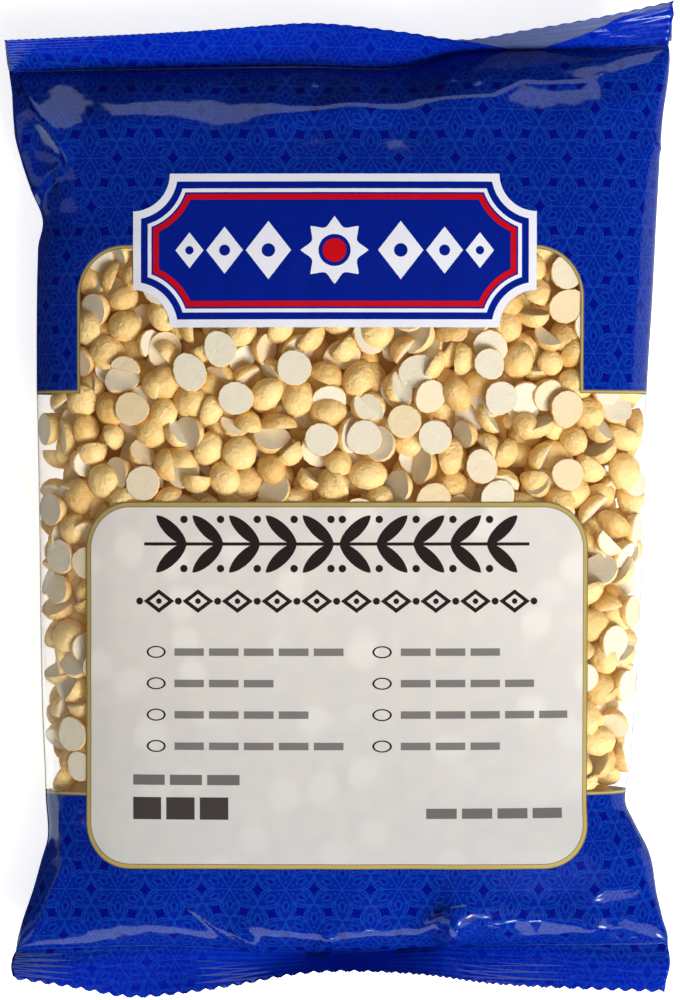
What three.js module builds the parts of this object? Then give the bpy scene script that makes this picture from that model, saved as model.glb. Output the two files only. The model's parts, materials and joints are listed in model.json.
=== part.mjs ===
// A pillow bag of roasted chana dal, lying on its back: a tube of clear printed film, sealed flat
// across both ends and filled with split chickpeas. It is one closed solid, lofted from rings
// across the bag. Millimetres; +Z up, the bag's top edge towards +Y, the origin on the surface
// it lies on, below its middle.
import * as THREE from 'three';

const { lerp, clamp, smoothstep } = THREE.MathUtils;

// Along the bag, before the ends curl
const BOTTOM_SEAL = -96; // the inner line of the bottom seal
const TOP_SEAL = 92; // the inner line of the top seal
const SEAL_WIDTH = 10; // the crimped strip beyond each line
const SHOULDER = 30; // the film between a bent seal line and the even body

// Height
const SEAM_HEIGHT = 13; // of the side edges and the seal lines
const CROWN = 17.5; // from the side edges up to the top of the front
const BELLY = 17; // from the side edges down, cut off by the surface it lies on
const SEAL_THICKNESS = 0.7;
const END_FULLNESS = 4.5; // how squarely the filled length ends: 2 is an ellipse
const END_SLOPE = 0.5;
const SIDE_FULLNESS = 2.5; // how squarely a section's sides turn down
const SIDE_SLOPE = 0.5;

// The side edges seen from the front, [along, across]: waisted, flared to the seals, and
// notched where the film buckles
const LEFT_EDGE = [[-106, -70], [-99, -70.5], [-86, -66.3], [-77, -64.1], [-72, -62.7], [-64, -63.2],
  [-43, -64.2], [0, -64.8], [22, -65.2], [54, -64.9], [60, -63.9], [67, -66.6], [77, -69.6],
  [90, -70.8], [102, -72.3]];
const RIGHT_EDGE = [[-106, 69.8], [-99, 71], [-86, 68.3], [-76, 66.6], [-69, 63.2], [-64.5, 61.3],
  [-56, 62.6], [-21, 64.8], [0, 65.7], [22, 65.9], [43, 67.1], [69, 68.5], [86, 69.9], [102, 72]];

// The end seals from left to right: the inner line as [across, along], and the cut edge's
// place along and height, which say how far the strip curls up
const TOP_LINE = [[-72, 91.9], [-9, 92.9], [13, 92.7], [27, 96], [57, 96.6], [72, 97.6]];
const TOP_EDGE = [[-72, 98.1], [-33, 100], [-9, 101.9], [0, 101.6], [14, 99.8], [26, 98], [39, 100],
  [57, 103.4], [72, 107.1]];
const TOP_EDGE_HEIGHT = [[-72, 19], [-33, 18.5], [-9, 17], [14, 19.5], [26, 22], [57, 19], [72, 15]];
const BOTTOM_LINE = [[-71, -96.8], [-40, -95.4], [-16, -96.8], [3, -97], [24, -95.6], [71, -95.4]];
const BOTTOM_EDGE = [[-71, -102], [-57, -104.3], [-45, -106.4], [-33, -105.4], [-21, -103.4],
  [-9, -101], [3, -100.2], [18, -101.1], [33, -103.3], [51, -104.5], [71, -105.4]];
const BOTTOM_EDGE_HEIGHT = [[-71, 17], [-45, 14], [-21, 17], [3, 21.5], [18, 20], [33, 17], [71, 13]];
const CRIMP_RIDGES = 6;
const CRIMP_HEIGHT = 0.3;

// Folds in the front film, from one end to the other, with half width and height
const FOLDS = [
  { from: [-69, 90], to: [-57.5, 72], width: 4.5, height: 2.2 }, // below the top left corner
  { from: [-66, 80], to: [-63, 70], width: 4, height: -2 }, // the hollow outside it
  { from: [-66, 62], to: [-59, 71], width: 3.5, height: -1.8 }, // the buckle at the left edge
  { from: [-34, -85], to: [-16, -96], width: 3.5, height: -1.6 }, // running into the bottom seal
  { from: [24, -86], to: [25, -95], width: 5, height: 2.6 }, // the peak above the bottom seal
  { from: [28, -86.5], to: [65, -92], width: 3.5, height: 1.6 }, // from the peak to the right
  { from: [52, 88], to: [68, 93], width: 4, height: -1.8 }, // the hollow below the top right corner
];

// The split chickpeas that press on the film
const GRAIN = 7.5; // across
const GRAIN_HEIGHT = 1.3; // how far they show through the film
const GRAIN_SCATTER = 0.55; // how unevenly they lie, as a share of their spacing

// How finely the solid is divided
const BODY_STEP = 3.2;
const FRONT_STEPS = 46;
const BACK_STEPS = 13;

// A smooth curve through [position, value] points, in order of position
function through(points) {
  const slopes = points.map((point, i) => {
    const [before, after] = [points[Math.max(i - 1, 0)], points[Math.min(i + 1, points.length - 1)]];
    return (after[1] - before[1]) / (after[0] - before[0]);
  });
  return (position) => {
    const at = clamp(position, points[0][0], points.at(-1)[0]);
    const i = Math.max(points.findIndex((point) => point[0] >= at), 1) - 1;
    const span = points[i + 1][0] - points[i][0];
    const t = (at - points[i][0]) / span;
    return points[i][1] * (1 + 2 * t) * (1 - t) ** 2 + points[i + 1][1] * t * t * (3 - 2 * t)
      + span * t * (1 - t) * (slopes[i] * (1 - t) - slopes[i + 1] * t);
  };
}

const leftEdge = through(LEFT_EDGE);
const rightEdge = through(RIGHT_EDGE);
const topLine = through(TOP_LINE);
const topEdge = through(TOP_EDGE);
const topEdgeHeight = through(TOP_EDGE_HEIGHT);
const bottomLine = through(BOTTOM_LINE);
const bottomEdge = through(BOTTOM_EDGE);
const bottomEdgeHeight = through(BOTTOM_EDGE_HEIGHT);

// How full the bag is at a place along it: 0 on the seal lines, 1 in the middle
function fullness(along) {
  const middle = (TOP_SEAL + BOTTOM_SEAL) / 2;
  const out = Math.abs(along - middle) / (TOP_SEAL - middle);
  return out < 1 ? (1 - out ** END_FULLNESS) ** END_SLOPE : 0;
}

// A section's height over its side edges, as a share of its middle's
function roundness(across) {
  return Math.max(1 - Math.abs(across) ** SIDE_FULLNESS, 0) ** SIDE_SLOPE;
}

function foldHeight(x, y) {
  let height = 0;
  for (const fold of FOLDS) {
    const [dx, dy] = [fold.to[0] - fold.from[0], fold.to[1] - fold.from[1]];
    const [px, py] = [x - fold.from[0], y - fold.from[1]];
    const along = clamp((px * dx + py * dy) / (dx * dx + dy * dy), 0, 1);
    const away = Math.hypot(px - along * dx, py - along * dy) / fold.width;
    height += fold.height * Math.exp(-away * away) * (0.4 + 0.6 * Math.sin(Math.PI * along));
  }
  return height;
}

// A repeatable number from 0 to 1 for each cell
function scatter(column, row) {
  const wave = Math.sin(column * 12.9898 + row * 78.233) * 43758.5453;
  return wave - Math.floor(wave);
}

// The chickpeas under the film: a dome round each point of an uneven triangular grid
function grainHeight(x, y) {
  const rowStep = GRAIN * Math.sqrt(0.75);
  const middleRow = Math.round(y / rowStep);
  let nearest = GRAIN;
  for (let row = middleRow - 1; row <= middleRow + 1; row += 1) {
    const start = (row % 2) * GRAIN * 0.5;
    const middleColumn = Math.round((x - start) / GRAIN);
    for (let column = middleColumn - 1; column <= middleColumn + 1; column += 1) {
      const grainX = start + (column + (scatter(column, row) - 0.5) * GRAIN_SCATTER) * GRAIN;
      const grainY = (row + (scatter(row, column + 99) - 0.5) * GRAIN_SCATTER) * rowStep;
      nearest = Math.min(nearest, Math.hypot(x - grainX, y - grainY));
    }
  }
  return GRAIN_HEIGHT * Math.sqrt(Math.max(1 - (nearest / GRAIN) ** 2 * 1.6, 0));
}

// The film's place: across from -1 to 1, along in flat millimetres, side 1 in front and -1 behind
function filmPoint(across, along, side) {
  const x = lerp(leftEdge(along), rightEdge(along), (across + 1) / 2);
  const overTop = clamp((along - TOP_SEAL) / SEAL_WIDTH, 0, 1);
  const overBottom = clamp((BOTTOM_SEAL - along) / SEAL_WIDTH, 0, 1);
  let y = along;
  let z = SEAM_HEIGHT + side * SEAL_THICKNESS / 2;
  if (overTop > 0) {
    y = lerp(topLine(x), topEdge(x), overTop);
    z += (topEdgeHeight(x) - SEAM_HEIGHT) * overTop;
  } else if (overBottom > 0) {
    y = lerp(bottomLine(x), bottomEdge(x), overBottom);
    z += (bottomEdgeHeight(x) - SEAM_HEIGHT) * overBottom;
  } else {
    y += (topLine(x) - TOP_SEAL) * smoothstep(along, TOP_SEAL - SHOULDER, TOP_SEAL);
    y += (bottomLine(x) - BOTTOM_SEAL) * smoothstep(-along, -BOTTOM_SEAL - SHOULDER, -BOTTOM_SEAL);
    const full = fullness(along) * roundness(across);
    const filled = smoothstep(full, 0, 0.5);
    z += side > 0
      ? CROWN * full + foldHeight(x, y) * filled + (grainHeight(x, y) - GRAIN_HEIGHT) * filled
      : -BELLY * full;
  }
  const ridge = Math.sin((overTop + overBottom) * CRIMP_RIDGES * 2 * Math.PI);
  return new THREE.Vector3(x, y, Math.max(z + CRIMP_HEIGHT * ridge, 0));
}

// One film, front or back, from edge to edge at one place along the bag
class FilmSection extends THREE.Curve {
  constructor(along, side) {
    super();
    this.along = along;
    this.side = side;
  }

  getPoint(share) {
    return filmPoint(-this.side * Math.cos(Math.PI * share), this.along, this.side);
  }
}

// The places of the rings: even over the body, and on each flank of the crimp ridges
function ringPlaces() {
  const places = [];
  const crimpStep = SEAL_WIDTH / CRIMP_RIDGES / 2;
  const halfway = crimpStep / 2;
  const bodySteps = Math.round((TOP_SEAL - BOTTOM_SEAL) / BODY_STEP);
  places.push(BOTTOM_SEAL - SEAL_WIDTH);
  for (let i = 2 * CRIMP_RIDGES - 1; i >= 0; i -= 1) {
    places.push(BOTTOM_SEAL - i * crimpStep - halfway);
  }
  for (let i = 0; i <= bodySteps; i += 1) {
    places.push(lerp(BOTTOM_SEAL, TOP_SEAL, i / bodySteps));
  }
  for (let i = 0; i < 2 * CRIMP_RIDGES; i += 1) {
    places.push(TOP_SEAL + i * crimpStep + halfway);
  }
  places.push(TOP_SEAL + SEAL_WIDTH);
  return places;
}

// Triangles over one end ring, facing along way on the Y axis
function endCap(ring, first, way) {
  const contour = ring.map((point) => new THREE.Vector2(point.x, point.z));
  return THREE.ShapeUtils.triangulateShape(contour, []).map(([a, b, c]) => {
    const edge = contour[b].clone().sub(contour[a]);
    const turn = edge.cross(contour[c].clone().sub(contour[a]));
    return turn * way < 0 ? [a, b, c] : [a, c, b];
  }).flat().map((corner) => first + corner);
}

function bagGeometry() {
  const rings = ringPlaces().map((along) => [
    ...new FilmSection(along, 1).getSpacedPoints(FRONT_STEPS),
    ...new FilmSection(along, -1).getSpacedPoints(BACK_STEPS),
  ]);
  const size = rings[0].length;
  const triangles = [];
  for (let i = 0; i < rings.length - 1; i += 1) {
    for (let j = 0; j < size; j += 1) {
      const [here, next] = [i * size + j, i * size + (j + 1) % size];
      triangles.push(here, next, next + size, here, next + size, here + size);
    }
  }
  const last = (rings.length - 1) * size;
  triangles.push(...endCap(rings[0], 0, -1), ...endCap(rings.at(-1), last, 1));
  const geometry = new THREE.BufferGeometry().setFromPoints(rings.flat());
  geometry.setIndex(triangles);
  geometry.computeVertexNormals();
  return geometry;
}

const filledBag = new THREE.Mesh(
  bagGeometry(),
  new THREE.MeshStandardMaterial({ color: 0x1237a8, roughness: 0.25, metalness: 0 }),
);
filledBag.name = 'filled_bag';

const bagOfDal = new THREE.Group();
bagOfDal.add(filledBag);

export default bagOfDal;
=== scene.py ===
"""A sealed pillow bag of roasted chana dal, laid out as a Blender add-on and run as a script."""

import json
import math

import bmesh
import bpy
import numpy as np
from mathutils import Matrix, Quaternion, Vector
from mathutils.bvhtree import BVHTree

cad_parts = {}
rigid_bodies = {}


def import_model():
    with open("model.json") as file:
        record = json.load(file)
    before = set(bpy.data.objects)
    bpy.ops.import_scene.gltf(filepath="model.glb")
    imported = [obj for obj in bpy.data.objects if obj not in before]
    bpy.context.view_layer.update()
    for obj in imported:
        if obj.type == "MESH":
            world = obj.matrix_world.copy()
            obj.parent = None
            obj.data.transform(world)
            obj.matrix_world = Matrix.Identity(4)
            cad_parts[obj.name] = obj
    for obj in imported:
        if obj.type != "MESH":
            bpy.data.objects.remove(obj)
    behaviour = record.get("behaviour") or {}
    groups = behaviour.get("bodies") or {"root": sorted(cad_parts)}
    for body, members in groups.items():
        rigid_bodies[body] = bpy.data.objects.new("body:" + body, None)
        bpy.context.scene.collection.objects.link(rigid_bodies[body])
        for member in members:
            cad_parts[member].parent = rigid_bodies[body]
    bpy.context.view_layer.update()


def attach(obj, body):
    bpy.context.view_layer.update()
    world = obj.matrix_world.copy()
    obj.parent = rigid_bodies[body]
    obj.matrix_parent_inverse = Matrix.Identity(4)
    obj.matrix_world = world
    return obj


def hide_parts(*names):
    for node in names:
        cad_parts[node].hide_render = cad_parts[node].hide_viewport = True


bl_info = {
    "name": "Bag of roasted chana dal",
    "version": (1, 0, 0),
    "blender": (4, 5, 0),
    "location": "3D View > Sidebar > Dal Bag",
    "description": "Builds a printed clear film bag and the split chickpeas inside it",
    "category": "Add Mesh",
}

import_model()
MM = 0.001

# ---------------------------------------------------------------- the film's form, in millimetres

BOTTOM_SEAL = -96.0
TOP_SEAL = 92.0
MIDDLE = (TOP_SEAL + BOTTOM_SEAL) / 2
SEAL_WIDTH = 10.0
SHOULDER = 30.0
SEAM_HEIGHT = 13.0
CROWN = 17.5
BELLY = 17.0
SEAL_GAP = 0.16  # between the two films of a seal
END_FULLNESS, END_SLOPE = 4.5, 0.5
SIDE_FULLNESS, SIDE_SLOPE = 2.5, 0.5
FLOOR_CLEARANCE = 0.25  # leaves room for the lap of the back seam

# The outline and the seals' curl, as in the solid: [along, across], then [across, along] or
# [across, height]
LEFT_EDGE = ((-106, -70), (-99, -70.5), (-86, -66.3), (-77, -64.1), (-72, -62.7), (-64, -63.2),
             (-43, -64.2), (0, -64.8), (22, -65.2), (54, -64.9), (60, -63.9), (67, -66.6),
             (77, -69.6), (90, -70.8), (102, -72.3))
RIGHT_EDGE = ((-106, 69.8), (-99, 71), (-86, 68.3), (-76, 66.6), (-69, 63.2), (-64.5, 61.3),
              (-56, 62.6), (-21, 64.8), (0, 65.7), (22, 65.9), (43, 67.1), (69, 68.5),
              (86, 69.9), (102, 72))
TOP_LINE = ((-72, 91.9), (-9, 92.9), (13, 92.7), (27, 96), (57, 96.6), (72, 97.6))
TOP_EDGE = ((-72, 98.1), (-33, 100), (-9, 101.9), (0, 101.6), (14, 99.8), (26, 98), (39, 100),
            (57, 103.4), (72, 107.1))
TOP_EDGE_HEIGHT = ((-72, 19), (-33, 18.5), (-9, 17), (14, 19.5), (26, 22), (57, 19), (72, 15))
BOTTOM_LINE = ((-71, -96.8), (-40, -95.4), (-16, -96.8), (3, -97), (24, -95.6), (71, -95.4))
BOTTOM_EDGE = ((-71, -102), (-57, -104.3), (-45, -106.4), (-33, -105.4), (-21, -103.4),
               (-9, -101), (3, -100.2), (18, -101.1), (33, -103.3), (51, -104.5), (71, -105.4))
BOTTOM_EDGE_HEIGHT = ((-71, 17), (-45, 14), (-21, 17), (3, 21.5), (18, 20), (33, 17), (71, 13))

# Folds in the front film: from, to, half width, height
FOLDS = (
    ((-69, 90), (-57.5, 72), 4.5, 2.2),
    ((-66, 80), (-63, 70), 4, -2),
    ((-66, 62), (-59, 71), 3.5, -1.8),
    ((-34, -85), (-16, -96), 3.5, -1.6),
    ((24, -86), (25, -95), 5, 2.6),
    ((28, -86.5), (65, -92), 3.5, 1.6),
    ((52, 88), (68, 93), 4, -1.8),
)

# Sharp creases that only the film has: the places they run through, half width, height
CREASES = (
    (((-68.2, 89.1), (-57.9, 73)), 1.0, 1.5),
    (((-68, 84), (-64, 68)), 2.4, -0.6),
    (((-65, 66), (-60, 71), (-59, 64)), 1.2, 0.7),
    (((11.2, 86.9), (18.7, 84.6), (32.6, 85.4), (38.6, 89.1), (51.2, 88.7), (67, 93.8)),
     1.5, 0.6),
    (((-8.4, 85), (-6, 89.7), (-1.7, 86.9)), 1.0, 0.6),
    (((22.3, 89.5), (25.3, 89.7)), 0.7, 0.5),
    (((27, 91.4), (28.8, 90.5)), 0.7, 0.5),
    (((28.3, 88.4), (30.5, 89.4)), 0.7, 0.4),
    (((65.2, 80.3), (67, 75.6), (69, 75.2)), 1.0, 0.7),
    (((63.3, 87.8), (62.9, 83.7)), 1.4, 0.4),
    (((-8, 94.6), (5, 95.8), (13, 96.4)), 0.6, 0.5),
    (((-4, 96.6), (8, 98.3)), 0.6, 0.4),
    (((-4, 93.2), (3, 93.9)), 0.6, 0.45),
    (((-59.7, -62.9), (-59.2, -78.3), (-66.5, -95.5)), 1.5, 0.9),
    (((-34.8, -84.8), (-18.5, -93.6), (-16.4, -96.6)), 1.0, 1.5),
    (((-31.5, -86.6), (-18.6, -96.6)), 0.9, 1.1),
    (((-4.9, -96.2), (-3, -92.4), (-0.5, -94.5)), 0.9, 1.1),
    (((-60, -95.6), (-40, -94), (-28, -94.8)), 1.2, 0.5),
    (((23.8, -85.2), (24.6, -90.5), (22, -95.8)), 2.2, 2.0),
    (((15, -94), (23.8, -85.2), (38, -92)), 2.0, 0.8),
    (((29.8, -94.2), (39.9, -92.7), (59.7, -91.2), (66.1, -93.6)), 0.9, 0.7),
    (((46.6, -89.9), (59.7, -91.2)), 0.8, 0.5),
    (((51.9, -85.4), (57.9, -82.4)), 1.0, 0.5),
    (((58.5, -83.4), (63.7, -82.9)), 0.8, 0.5),
    (((60.1, -90.3), (62.2, -87.6)), 0.9, 0.5),
)

# How far the front film ends short of the back one in the top seal: [across, gap]
FRONT_CUT = ((22, 0), (27, 0.3), (30, 0.9), (35, 2.4), (40, 4.1), (45, 3.5), (50, 3), (55, 2.1),
             (60, 0.9), (66, 0.9), (72, 1.4))

# Where the film turns down to the top seal, and how much higher it stands there: [across, ...]
TURN_LINE = ((-72, 84), (-50, 81.5), (-15, 81.5), (0, 82.5), (15, 82.5), (30, 80.8), (45, 81.3),
             (58, 84), (72, 87.5))
TURN_HEIGHT = ((-72, 0.6), (-62, 0.5), (-53, 1.2), (-47, 1.4), (-38, 0.9), (-22, 0.9), (-14, 1.3),
               (0, 1.8), (12, 1.7), (22, 1.4), (34, 0.9), (46, 0.9), (56, 1.4), (72, 0.3))
TURN_WIDTH = ((-72, 5.5), (-18, 5.5), (-8, 3.2), (8, 3.2), (25, 4.2), (42, 6.5), (72, 5.5))

GIRTH = 288.0  # of the flat film tube
LAP = 8.0  # the film's overlap in the back seam
PRINT_REACH = 56.0  # the front's print, each way from its middle
PRINT_MIDDLE = 0.5  # where the print's middle line lies across the bag
CRIMP_RIDGES = 6
CRIMP_HEIGHT = 0.08
GLINT = (4.0, 8.0, 2.0)  # where the top's ridges are taller: middle, half width, how much
TOOTH = 0.8  # how deep the teeth of the bottom's cut edge are
TOP_TOOTH = 0.25


def through(points):
    """A smooth curve through (position, value) points, for arrays."""
    at, value = np.array(points, float).T
    slope = np.gradient(value)
    slope[1:-1] = (value[2:] - value[:-2]) / (at[2:] - at[:-2])
    slope[0] = (value[1] - value[0]) / (at[1] - at[0])
    slope[-1] = (value[-1] - value[-2]) / (at[-1] - at[-2])

    def curve(where):
        where = np.clip(where, at[0], at[-1])
        i = np.clip(np.searchsorted(at, where) - 1, 0, len(at) - 2)
        span = at[i + 1] - at[i]
        t = (where - at[i]) / span
        ends = value[i] * (1 + 2 * t) * (1 - t) ** 2 + value[i + 1] * t * t * (3 - 2 * t)
        return ends + span * t * (1 - t) * (slope[i] * (1 - t) - slope[i + 1] * t)

    return curve


left_edge, right_edge = through(LEFT_EDGE), through(RIGHT_EDGE)
top_line, top_edge, top_edge_height = map(through, (TOP_LINE, TOP_EDGE, TOP_EDGE_HEIGHT))
bottom_line, bottom_edge = through(BOTTOM_LINE), through(BOTTOM_EDGE)
bottom_edge_height = through(BOTTOM_EDGE_HEIGHT)


def smooth_step(low, high, value):
    t = np.clip((value - low) / (high - low), 0, 1)
    return t * t * (3 - 2 * t)


def fullness(along):
    """How full the bag is at a place along it: 0 on the seal lines, 1 in the middle."""
    out = np.minimum(np.abs(along - MIDDLE) / (TOP_SEAL - MIDDLE), 1)
    return (1 - out ** END_FULLNESS) ** END_SLOPE


def roundness(across):
    return np.maximum(1 - np.abs(across) ** SIDE_FULLNESS, 0) ** SIDE_SLOPE


def from_line(x, y, start, end):
    """Distance from a straight line, and the share of its length where it's nearest."""
    dx, dy = end[0] - start[0], end[1] - start[1]
    px, py = x - start[0], y - start[1]
    along = np.clip((px * dx + py * dy) / (dx * dx + dy * dy), 0, 1)
    return np.hypot(px - along * dx, py - along * dy), along


def fold_height(x, y):
    height = np.zeros_like(x)
    for start, end, width, fold in FOLDS:
        away, along = from_line(x, y, start, end)
        height += fold * np.exp(-(away / width) ** 2) * (0.4 + 0.6 * np.sin(np.pi * along))
    return height


def crease_height(x, y):
    """Ridges with a sharp top that die away at both ends."""
    height = np.zeros_like(x)
    for places, width, crease in CREASES:
        count = len(places) - 1
        nearest, rise = np.full_like(x, np.inf), np.zeros_like(x)
        for i in range(count):
            away, along = from_line(x, y, places[i], places[i + 1])
            share = (i + along) / count
            closer = away < nearest
            nearest = np.where(closer, away, nearest)
            rise = np.where(closer, np.sin(np.pi * np.clip(share, 0.04, 0.96)) ** 0.5, rise)
        height += crease * rise * np.exp(-nearest / width)
    return height


def film_point(across, along, side):
    """Places on the smooth film: across from -1 to 1, side 1 in front and -1 behind."""
    left, right = left_edge(along), right_edge(along)
    x = left + (right - left) * (across + 1) / 2
    over_top = np.clip((along - TOP_SEAL) / SEAL_WIDTH, 0, 1)
    over_bottom = np.clip((BOTTOM_SEAL - along) / SEAL_WIDTH, 0, 1)
    near_top = smooth_step(TOP_SEAL - SHOULDER, TOP_SEAL, along)
    near_bottom = smooth_step(-BOTTOM_SEAL - SHOULDER, -BOTTOM_SEAL, -along)
    y = along + (top_line(x) - TOP_SEAL) * near_top + (bottom_line(x) - BOTTOM_SEAL) * near_bottom
    y = np.where(over_top > 0, top_line(x) + (top_edge(x) - top_line(x)) * over_top, y)
    y = np.where(over_bottom > 0,
                 bottom_line(x) + (bottom_edge(x) - bottom_line(x)) * over_bottom, y)
    full = fullness(along) * roundness(across)
    filled = smooth_step(0, 0.5, full)
    z = SEAM_HEIGHT + side * SEAL_GAP / 2
    z = z + (top_edge_height(x) - SEAM_HEIGHT) * over_top
    z = z + (bottom_edge_height(x) - SEAM_HEIGHT) * over_bottom
    front = CROWN * full + fold_height(x, y) * filled
    z = z + np.where(side > 0, front, -BELLY * full)
    return np.stack([x, y, np.maximum(z, FLOOR_CLEARANCE)], axis=-1)


class FilmTube:
    """The smooth bag as a table over its flat film: around it from the back seam, and along it."""

    STEP = 0.5
    FINE = 1441

    def __init__(self):
        self.low = BOTTOM_SEAL - SEAL_WIDTH
        self.rows = int(round((TOP_SEAL + SEAL_WIDTH - self.low) / self.STEP)) + 1
        self.columns = int(round(GIRTH / self.STEP)) + 1
        along = self.low + np.arange(self.rows) * self.STEP
        turn = np.linspace(0, 2 * np.pi, self.FINE)
        fine = self.section(turn[None, :], along[:, None])
        steps = np.linalg.norm(np.diff(fine, axis=1), axis=2)
        arc = np.concatenate([np.zeros((self.rows, 1)), np.cumsum(steps, axis=1)], axis=1)
        flat = np.linspace(-GIRTH / 2, GIRTH / 2, self.columns)
        side = slice(self.FINE // 4, 3 * self.FINE // 4)
        middles = [np.interp(PRINT_MIDDLE, spots[side, 0], row[side])
                   for spots, row in zip(fine, arc)]
        turns = np.array([np.interp(self.stretched(flat, row, middle), row, turn)
                          for row, middle in zip(arc, middles)])
        self.points = self.section(turns, along[:, None])
        around = np.gradient(self.points, axis=1)
        around[:, 0] = around[:, -1] = self.points[:, 1] - self.points[:, -2]
        lengthwise = np.gradient(self.points, axis=0)
        normals = np.cross(around, lengthwise)
        self.normals = normals / np.linalg.norm(normals, axis=2, keepdims=True)

    @staticmethod
    def stretched(flat, arc, middle):
        """Arc lengths for flat places: the printed front keeps its size, the rest takes up slack."""
        return np.interp(flat, (-GIRTH / 2, -PRINT_REACH, PRINT_REACH, GIRTH / 2),
                         (0, middle - PRINT_REACH, middle + PRINT_REACH, arc[-1]))

    @staticmethod
    def section(turn, along):
        turn, along = np.broadcast_arrays(turn, along)
        return film_point(-np.sin(turn), along, np.where(np.cos(turn) > 0, -1.0, 1.0))

    def look_up(self, table, around, along):
        """The table's value at flat places, between its rows and columns."""
        column = np.mod(around + GIRTH / 2, GIRTH) / self.STEP
        row = np.clip((along - self.low) / self.STEP, 0, self.rows - 1.001)
        i, j = np.floor(row).astype(int), np.minimum(np.floor(column).astype(int),
                                                     self.columns - 2)
        s, t = (row - i)[..., None], (column - j)[..., None]
        return ((table[i, j] * (1 - t) + table[i, j + 1] * t) * (1 - s)
                + (table[i + 1, j] * (1 - t) + table[i + 1, j + 1] * t) * s)

    def place(self, around, along):
        return self.look_up(self.points, around, along)

    def normal(self, around, along):
        return self.look_up(self.normals, around, along)


TUBE = FilmTube()

# ------------------------------------------------------------------------------------- settings


def colour(name, description, value):
    return bpy.props.FloatVectorProperty(
        name=name, description=description, default=value, size=3, min=0, max=1, subtype="COLOR")


def length(name, description, value):
    return bpy.props.FloatProperty(
        name=name, description=description, default=value, min=0, unit="LENGTH")


class DalBagFilm(bpy.types.PropertyGroup):
    cling: length("Cling", "How far the film sinks between the grains", 0.5 * MM)
    blue: colour("Blue", "Ink of the end bands", (0.0006, 0.0105, 0.205))
    blue_dark: colour("Dark blue", "Ink of the lattice's fields", (0.0003, 0.003, 0.15))
    # Painted light: the seal blue is lighter than the bands' blue, for the light the seal strips
    # catch, and the lit blue is painted light for the bottom seal standing up with light behind it.
    blue_seal_lit: colour("Seal blue", "Ink on the pale film of the seals", (0.001, 0.013, 0.42))
    blue_lit: colour("Lit blue", "Ink with light behind it", (0.003, 0.05, 0.75))
    blue_line: colour("Line blue", "Ink of the lattice's lines", (0.006, 0.058, 0.33))
    gold: colour("Gold", "Ink of the borders", (0.37, 0.27, 0.09))
    olive: colour("Olive", "Edge of the gold borders", (0.11, 0.10, 0.04))
    panel: colour("Panel", "Pale ink of the front panel", (0.46, 0.445, 0.43))
    # Painted light: these panel inks are lighter where a grain lies close behind the film, warm over
    # a skin and pale over a split face, for the light that comes back through the thin ink.
    panel_lit_by_skin: colour("Warm panel", "Panel over a roasted skin", (0.52, 0.46, 0.40))
    panel_lit_by_face: colour("Lit panel", "Panel over a split face", (0.575, 0.55, 0.505))
    # Painted shade: this colour darkens the panel's foot.
    panel_painted_shade: colour("Low panel", "Panel's foot, where the film stands free", (0.29, 0.305, 0.31))
    panel_glow: colour("Panel glow", "Light that comes back through the panel's ink",
                       (0.2, 0.185, 0.17))
    white: colour("White", "White ink of the plaque", (0.68, 0.68, 0.74))
    red: colour("Red", "Red ink of the plaque", (0.47, 0.003, 0.008))
    dark: colour("Dark", "Ink of the marks on the panel", (0.018, 0.012, 0.012))
    inside: colour("Inside", "Film seen from inside the bag", (0.085, 0.11, 0.24))


class DalBagGrains(bpy.types.PropertyGroup):
    count: bpy.props.IntProperty(name="Count", description="Split chickpeas that are dropped in",
                                 default=3000, min=1)
    seed: bpy.props.IntProperty(name="Seed", description="Start of the random draws", default=7)
    width: length("Width", "Width of a split chickpea", 7.5 * MM)
    depth: length("Depth", "Thickness of a split chickpea", 3.6 * MM)
    skin: colour("Skin", "Roasted outside of a chickpea", (0.85, 0.61, 0.255))
    skin_dark: colour("Dark skin", "Deeper roasted patches", (0.60, 0.33, 0.08))
    face: colour("Face", "Split face of a chickpea", (0.68, 0.625, 0.5))
    face_tan: colour("Tan face", "Split face that has roasted", (0.71, 0.56, 0.34))
    shade: colour("Shade", "The heap deep inside", (0.52, 0.26, 0.07))
    # Painted light: a faint glow by emission, for light that comes back out of the grains and lifts
    # their shade.
    glow: colour("Glow", "Light that comes back out of a chickpea", (0.045, 0.024, 0.006))


class DalBagStudio(bpy.types.PropertyGroup):
    camera_height: length("Camera height", "Camera above the floor", 1.15)
    frame_height: length("Frame height", "Height of the view at the bag's middle", 0.2146)
    floor: colour("Floor", "Pale floor", (0.75, 0.75, 0.75))


# -------------------------------------------------------------------------------------- shaders


class Value:
    """A number from a shader node. Python arithmetic on it adds Math nodes."""

    def __init__(self, shader, socket):
        self.shader, self.socket = shader, socket

    def math(self, operation, *others, clamp=False):
        return self.shader.math(operation, self, *others, clamp=clamp)

    def __add__(self, other):
        return self.math("ADD", other)

    def __radd__(self, other):
        return self.math("ADD", other)

    def __sub__(self, other):
        return self.math("SUBTRACT", other)

    def __rsub__(self, other):
        return self.shader.math("SUBTRACT", other, self)

    def __mul__(self, other):
        return self.math("MULTIPLY", other)

    def __rmul__(self, other):
        return self.math("MULTIPLY", other)

    def __truediv__(self, other):
        return self.math("DIVIDE", other)

    def __mod__(self, other):
        return self.math("FLOORED_MODULO", other)

    def __neg__(self):
        return self.math("MULTIPLY", -1)

    def __abs__(self):
        return self.math("ABSOLUTE")

    def __lt__(self, other):
        return self.math("LESS_THAN", other)

    def __gt__(self, other):
        return self.math("GREATER_THAN", other)

    def clamp(self):
        return self.math("ADD", 0, clamp=True)


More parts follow.
